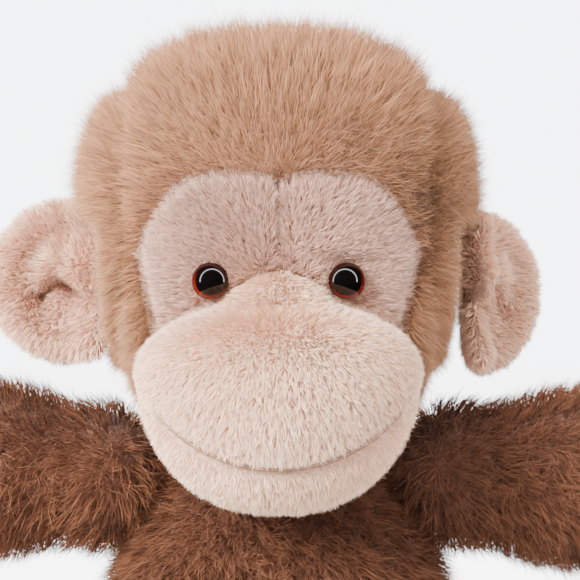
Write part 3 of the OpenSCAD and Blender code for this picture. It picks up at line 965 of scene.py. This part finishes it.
# ------------------------------------------------------------------ finishes
TAN_PILE = pile_material("tan_pile", (78, 42, 24), (152, 102, 68), (182, 134, 98),
                         strand_spread=0.8, tuft_spread=0.44, patch_strength=0.22, patch_scale=26.0)
BROWN_PILE = pile_material("brown_pile", (48, 26, 16), (106, 65, 44), (134, 90, 66), sheen=0.05,
                           strand_spread=0.5, tuft_spread=0.36, patch_strength=0.3, patch_scale=22.0)
PINK_PILE = pile_material("pink_pile", (160, 114, 94), (204, 160, 138), (224, 186, 166), root_share=0.4,
                          strand_spread=0.75, tuft_spread=0.22, patch_strength=0.22, patch_scale=34.0)
EAR_PILE = pile_material("ear_pile", (176, 112, 84), (238, 188, 156), (252, 218, 190), root_share=0.4,
                         strand_spread=0.2, tuft_spread=0.14, patch_strength=0.2, patch_scale=34.0)
CREAM_PILE = pile_material("cream_pile", (216, 164, 128), (246, 204, 170), (254, 228, 204), root_share=0.4,
                           strand_spread=0.4, tuft_spread=0.18, patch_strength=0.14, patch_scale=30.0)
TAN_CLOTH = backing_material("tan_backing", (150, 102, 70), (118, 76, 50))
BROWN_CLOTH = backing_material("brown_backing", (110, 68, 46), (84, 50, 34))
PINK_CLOTH = backing_material("pink_backing", (184, 148, 130), (150, 112, 96))
CREAM_CLOTH = backing_material("cream_backing", (216, 182, 158), (188, 150, 126))


def plain_material(name, colour, rough):
    mat, tree, shader = new_material(name)
    noise = tree.nodes.new("ShaderNodeTexNoise")
    noise.inputs["Scale"].default_value = 400
    noise.inputs["Detail"].default_value = 4
    coords = tree.nodes.new("ShaderNodeTexCoord")
    tree.links.new(coords.outputs["Object"], noise.inputs["Vector"])
    dark = tuple(c * 0.82 for c in colour)
    mixed = mix_colour(tree, noise.outputs["Fac"], rgba(*dark), rgba(*colour))
    tree.links.new(mixed, shader.inputs["Base Color"])
    shader.inputs["Roughness"].default_value = rough
    return mat


def floor_material():
    """Pale floor that the camera sees almost as bright as the backdrop, with its soft shadows."""
    mat = plain_material("pale_floor", (250, 250, 250), 0.8)
    tree = mat.node_tree
    shader = tree.nodes["Principled BSDF"]
    path = tree.nodes.new("ShaderNodeLightPath")
    shader.inputs["Emission Color"].default_value = (1, 1, 1, 1)
    tree.links.new(math_node(tree, "MULTIPLY", path.outputs["Is Camera Ray"], FLOOR_GLOW),
                   shader.inputs["Emission Strength"])
    return mat


def eye_material(side):
    """Clear domed eye: a black pupil in a dark red ring, with painted light that makes the ring brighter
    red low on its outer side.
    """
    mat, tree, shader = new_material("eye_left" if side > 0 else "eye_right")
    link = tree.links.new
    coords = tree.nodes.new("ShaderNodeTexCoord")
    mapping = tree.nodes.new("ShaderNodeMapping")
    mapping.inputs["Location"].default_value = (-side * EYE_X * MM, 0, -EYE_Z * MM)
    link(coords.outputs["Object"], mapping.inputs["Vector"])
    parts = tree.nodes.new("ShaderNodeSeparateXYZ")
    link(mapping.outputs[0], parts.inputs[0])
    x, z = parts.outputs[0], parts.outputs[2]
    r = math_node(tree, "SQRT", math_node(tree, "ADD", math_node(tree, "MULTIPLY", x, x),
                                          math_node(tree, "MULTIPLY", z, z)))
    ring = tree.nodes.new("ShaderNodeMapRange")
    ring.interpolation_type = "SMOOTHSTEP"
    ring.inputs["From Min"].default_value = PUPIL_R[0] * MM
    ring.inputs["From Max"].default_value = PUPIL_R[1] * MM
    link(r, ring.inputs["Value"])
    # Painted light: the red ring is brighter low on its outer side, as if lit through the clear dome.
    low = tree.nodes.new("ShaderNodeMapRange")
    low.interpolation_type = "SMOOTHSTEP"
    low.inputs["From Min"].default_value = RED_PAINTED_LIGHT[0] * MM
    low.inputs["From Max"].default_value = RED_PAINTED_LIGHT[1] * MM
    outer = math_node(tree, "SUBTRACT", math_node(tree, "MULTIPLY", x, side * 0.6), z)
    link(outer, low.inputs["Value"])
    red = mix_colour(tree, low.outputs[0], rgba(24, 6, 5), rgba(88, 14, 9))
    edge = tree.nodes.new("ShaderNodeMapRange")
    edge.interpolation_type = "SMOOTHSTEP"
    edge.inputs["From Min"].default_value = RING_EDGE_R[0] * MM
    edge.inputs["From Max"].default_value = RING_EDGE_R[1] * MM
    link(r, edge.inputs["Value"])
    red = mix_colour(tree, edge.outputs[0], red, rgba(16, 6, 5))
    link(mix_colour(tree, ring.outputs[0], rgba(7, 5, 5), red), shader.inputs["Base Color"])
    shader.inputs["Roughness"].default_value = 0.12
    shader.inputs["Specular IOR Level"].default_value = 0.0
    shader.inputs["Coat Weight"].default_value = 1.0
    shader.inputs["Coat IOR"].default_value = 1.4
    shader.inputs["Coat Roughness"].default_value = 0.02
    return mat


def finish_nodes(names, material):
    for name in names:
        data = frame["nodes"][name].data
        data.materials.clear()
        data.materials.append(material)


# ------------------------------------------------------------------ eyes
def add_eye(side, name):
    """Domed safety eye: a cap of a sphere on a short straight rim."""
    deselect()
    bpy.ops.mesh.primitive_uv_sphere_add(segments=64, ring_count=48, radius=EYE_DOME_R * MM,
                                         location=(0, 0, 0))
    eye = bpy.context.object
    eye.name = eye.data.name = name + "_dome"
    cut = EYE_DOME_R * math.cos(math.asin(EYE_R / EYE_DOME_R))
    bpy.ops.object.mode_set(mode="EDIT")
    bpy.ops.mesh.select_all(action="SELECT")
    bpy.ops.mesh.bisect(plane_co=(0, 0, cut * MM), plane_no=(0, 0, 1), clear_inner=True)
    bpy.ops.mesh.extrude_region_move(TRANSFORM_OT_translate={"value": (0, 0, -EYE_RIM * MM)})
    bpy.ops.mesh.fill()
    bpy.ops.mesh.select_all(action="SELECT")
    bpy.ops.mesh.normals_make_consistent(inside=False)
    bpy.ops.object.mode_set(mode="OBJECT")
    bpy.ops.object.shade_smooth_by_angle(angle=math.radians(50))
    back = np.array(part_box(name)[1]) / MM
    base = Vector((side * EYE_X, back[1] - EYE_R * math.sin(EYE_TURN), EYE_Z)) * MM
    way = Vector((side * math.sin(EYE_TURN), -math.cos(EYE_TURN), 0))
    turn = way.to_track_quat("Z", "Y").to_matrix().to_4x4()
    eye.data.transform(Matrix.Translation(base) @ turn @ Matrix.Translation((0, 0, (EYE_RIM - cut) * MM)))
    eye.data.materials.append(eye_material(side))
    return eye


# ------------------------------------------------------------------ making the object
SIDES = ((-1, "right"), (1, "left"))
ARM_SAG = {"left": -1.5, "right": 2.5}
PLUSH = dict(rise=16, lay=60, wild=0.22, tuft=10, pull=0.25, width=0.3, steps=3)
SHAGGY = dict(rise=22, lay=64, wild=0.5, tuft=9, pull=0.25, width=0.27, steps=3)


def panel(name, body, obj, count, keep, comb, length, material, seed, node=None, slot=None, **looks):
    """Pile on one panel: grown on its padded body, riding with it, and standing for the panel's cloth."""
    pile = grow(name, obj, count, keep, comb, length, material, seed, **looks)
    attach(pile, body)
    if node:
        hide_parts(*([node] if isinstance(node, str) else node))
    return pile


def stuffed(obj, body, material, nodes):
    obj.data.materials.clear()
    obj.data.materials.append(material)
    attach(obj, body)
    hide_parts(*nodes)


def paint_head(obj):
    """Each zone of the head's cloth gets its own backing."""
    obj.data.materials.clear()
    for material in (TAN_CLOTH, PINK_CLOTH, CREAM_CLOTH):
        obj.data.materials.append(material)
    count = len(obj.data.polygons)
    middle = np.empty(count * 3, np.float32)
    obj.data.polygons.foreach_get("center", middle)
    middle = middle.reshape(-1, 3) / MM
    zone = np.where(on_muzzle(middle), 2, np.where(on_face(middle), 1, 0))
    obj.data.polygons.foreach_set("material_index", zone.astype(np.int32))


def make_head():
    head = padded_body("head_stuffing", "head_body", 3.0, 2.4)
    shape_head(head)
    paint_head(head)
    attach(head, "head")
    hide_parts("head_stuffing")
    long = dict(rise=20, lay=66, wild=0.24, tuft=7, pull=0.2, width=0.2, steps=3)
    panel("crown_pile", "head", head, 65000, on_crown, comb_head, head_length, TAN_PILE, 1,
          "crown_panel", "tan_fur", rough=curl_and_edge_shade, **long)
    for keep, word, seed in ((on_left_side, "left", 2), (on_right_side, "right", 3)):
        panel(word + "_cheek_pile", "head", head, 52000, keep, comb_head, head_length, TAN_PILE, seed,
              word + "_head_panel", "tan_fur", rough=curl_and_edge_shade, **long)
    dense = dict(rise=16, lay=56, wild=0.24, tuft=10, pull=0.25, width=0.22, steps=3)
    panel("face_pile", "head", head, 46000, lambda p, n: on_face(p) & off_eyes(p), comb_face, face_length,
          PINK_PILE, 4, "face_panel", "pink_plush", **dense)
    panel("muzzle_pile", "head", head, 64000, lambda p, n: on_muzzle(p) & ~on_jaw(p) & off_eyes(p),
          comb_muzzle, muzzle_length, CREAM_PILE, 5, "muzzle_panel", "cream_plush", **dense)
    panel("jaw_pile", "head", head, 20000, on_jaw, comb_muzzle, jaw_length, CREAM_PILE, 6,
          "chin_panel", "cream_plush", **dense)


def make_eyes():
    for side, word in SIDES:
        eye = add_eye(side, word + "_eye")
        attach(eye, "head")
        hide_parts(word + "_eye")


def make_ears():
    left = padded_body("left_ear_filling", "left_ear_body", 1.8, 1.2)
    shape_ear(left)
    right = mirrored(left, "right_ear_body")
    settle_left_ear(left)
    looks = dict(rise=18, lay=58, wild=0.25, tuft=12, pull=0.3, width=0.24, steps=3)
    for side, word in SIDES:
        ear = left if side > 0 else right
        stuffed(ear, word + "_ear", PINK_CLOTH, [word + "_ear_filling"])
        body = word + "_ear"
        panel(body + "_front_pile", body, ear, 16000, ear_part(True), comb_ear(side), ear_length(side),
              EAR_PILE, 10 + side, body + "_front", "pink_plush", **looks)
        panel(body + "_back_pile", body, ear, 10000, ear_part(False), comb_ear(side), short(5.0),
              EAR_PILE, 14 + side, body + "_back", "pink_plush", **looks)


def make_trunk():
    trunk = padded_body("trunk_stuffing", "trunk_body", 5.0, 3.6)
    stuffed(trunk, "trunk", BROWN_CLOTH, ["trunk_stuffing"])
    panel("chest_pile", "trunk", trunk, 34000, on_chest, comb_trunk, trunk_length, BROWN_PILE, 20,
          "chest_panel", "brown_fur", **SHAGGY)
    for keep, word, seed in ((on_left_back, "left", 21), (on_right_back, "right", 22)):
        panel(word + "_back_pile", "trunk", trunk, 16000, keep, comb_trunk, trunk_length, BROWN_PILE, seed,
              word + "_back_panel", "brown_fur", **SHAGGY)
    panel("seat_pile", "trunk", trunk, 4000, on_seat, comb_trunk, short(4.0), BROWN_PILE, 23,
          "seat_panel", "brown_fur", rise=60, lay=84, steps=3, width=0.4)


def at_nape(p, n=None):
    """Band of the neck that shows between the head and the trunk."""
    return np.abs(p[:, 2] - NECK[2]) < NAPE_HALF


def make_neck():
    neck = padded_body("neck_stuffing", "neck_body", 3.0, 1.2)
    stuffed(neck, "neck", BROWN_CLOTH, ["neck_stuffing"])
    panel("neck_pile", "neck", neck, 6000, at_nape, comb_trunk, short(6.0), BROWN_PILE, 60,
          None, "brown_fur", **SHAGGY)


def make_arms():
    left = padded_body("left_arm_stuffing", "left_arm_body", 5.0, 4.2)
    left_hand = padded_body("left_hand_stuffing", "left_hand_body", 4.0, 2.4)
    for side, word in SIDES:
        arm = mirrored(left, "right_arm_body") if side < 0 else left
        hand = left_hand if side > 0 else mirrored(left_hand, "right_hand_body")
        plump_arm(arm, ARM_SAG[word])
        body = word + "_arm"
        stuffed(arm, body, BROWN_CLOTH, [body + "_stuffing"])
        stuffed(hand, body, PINK_CLOTH, [word + "_hand_stuffing"])
        panel(body + "_pile", body, arm, 32000, on_arm(side), comb_arm(side), arm_length, BROWN_PILE,
              30 + side, body + "_cloth", "brown_fur", **SHAGGY)
        panel(word + "_hand_pile", body, hand, 12500, all_over, comb_hand(side), short(4.2), PINK_PILE,
              34 + side, word + "_hand_cloth", "pink_plush", **PLUSH)


def make_legs():
    left = padded_body("left_leg_stuffing", "left_leg_body", 5.0, 2.4)
    left_foot = padded_body("left_foot_stuffing", "left_foot_body", 4.0, 2.4)
    for side, word in SIDES:
        leg = left if side > 0 else mirrored(left, "right_leg_body")
        foot = left_foot if side > 0 else mirrored(left_foot, "right_foot_body")
        body = word + "_leg"
        stuffed(leg, body, BROWN_CLOTH, [body + "_stuffing"])
        stuffed(foot, body, PINK_CLOTH, [word + "_foot_stuffing"])
        panel(body + "_pile", body, leg, 15000, on_leg(side), comb_leg(side), leg_length, BROWN_PILE,
              40 + side, body + "_cloth", "brown_fur", **SHAGGY)
        panel(word + "_foot_pile", body, foot, 12500, all_over, comb_foot(side), short(4.2), PINK_PILE,
              44 + side, word + "_foot_cloth", "pink_plush", **PLUSH)


def make_tail():
    tail = padded_body("tail_stuffing", "tail_body", 2.5, 2.0)
    stuffed(tail, "tail", BROWN_CLOTH, ["tail_stuffing"])
    panel("tail_pile", "tail", tail, 9000, all_over, comb_tail, tail_length, BROWN_PILE, 50,
          "tail_cloth", "brown_fur", **SHAGGY)


WORLD_LIGHT = 0.95
WORLD_SHOWN = 6.8
FLOOR_GLOW = 5.4
ARC_LAMPS = 20
ARC_RADIUS = 0.40
ARC_AHEAD = 0.17
ARC_POWER = 0.24
KEY_POWER = 92
RIM_POWER = 26


def add_stage():
    deselect()
    bpy.ops.mesh.primitive_plane_add(size=6, location=(0, 0, 0))
    floor = bpy.context.object
    floor.name = "floor"
    floor.data.materials.append(floor_material())
    floor.visible_glossy = False
    add_world()
    add_arc_lamps()
    key = add_area("key", (-1.0, -1.05, 0.85), 0.8, KEY_POWER)
    key.visible_glossy = False
    rim = add_area("rim", (0.7, 1.3, 0.9), 1.2, RIM_POWER)
    rim.visible_glossy = False


def add_world():
    """An even studio glow, shown to the camera as a bright plain backdrop."""
    world = bpy.data.worlds.new("studio")
    bpy.context.scene.world = world
    world.use_nodes = True
    tree = world.node_tree
    background = tree.nodes["Background"]
    background.inputs["Color"].default_value = rgba(246, 248, 255)
    path = tree.nodes.new("ShaderNodeLightPath")
    shown = math_node(tree, "MULTIPLY", path.outputs["Is Camera Ray"], WORLD_SHOWN - WORLD_LIGHT)
    tree.links.new(math_node(tree, "ADD", shown, WORLD_LIGHT), background.inputs["Strength"])
    world.cycles_visibility.glossy = False


def add_area(name, place, size, power):
    data = bpy.data.lights.new(name, "AREA")
    data.shape = "DISK"
    data.size = size
    data.energy = power
    lamp = bpy.data.objects.new(name, data)
    bpy.context.scene.collection.objects.link(lamp)
    lamp.location = place
    aim = Vector((0, -0.05, 0.19)) - Vector(place)
    lamp.rotation_euler = aim.to_track_quat("-Z", "Y").to_euler()
    return lamp


def add_arc_lamps():
    """Half a ring of lamps in front of the face, out of view, which shows as an arc in each eye."""
    for i in range(ARC_LAMPS):
        a = math.pi * i / (ARC_LAMPS - 1)
        place = (ARC_RADIUS * math.cos(a), EYE_PLANE_Y * MM - ARC_AHEAD,
                 EYE_Z * MM + ARC_RADIUS * math.sin(a))
        add_area("arc_%d" % i, place, 0.066, ARC_POWER)


add_camera()
make_head()
make_eyes()
make_ears()
make_trunk()
make_neck()
make_arms()
make_legs()
make_tail()
finish_nodes(["left_shoulder_stuffing", "right_shoulder_stuffing"],
             plain_material("filling", (238, 238, 232), 0.95))
finish_nodes(["mouth_thread"], plain_material("brown_thread", (150, 104, 80), 0.85))
finish_nodes(["left_eye_iris", "right_eye_iris"], plain_material("iris", (96, 24, 16), 0.3))
finish_nodes(["left_eye_washer", "right_eye_washer"], plain_material("washer", (220, 220, 214), 0.6))
finish_nodes(["pellet_bag"], plain_material("pellet_cloth", (176, 180, 186), 0.9))
add_stage()
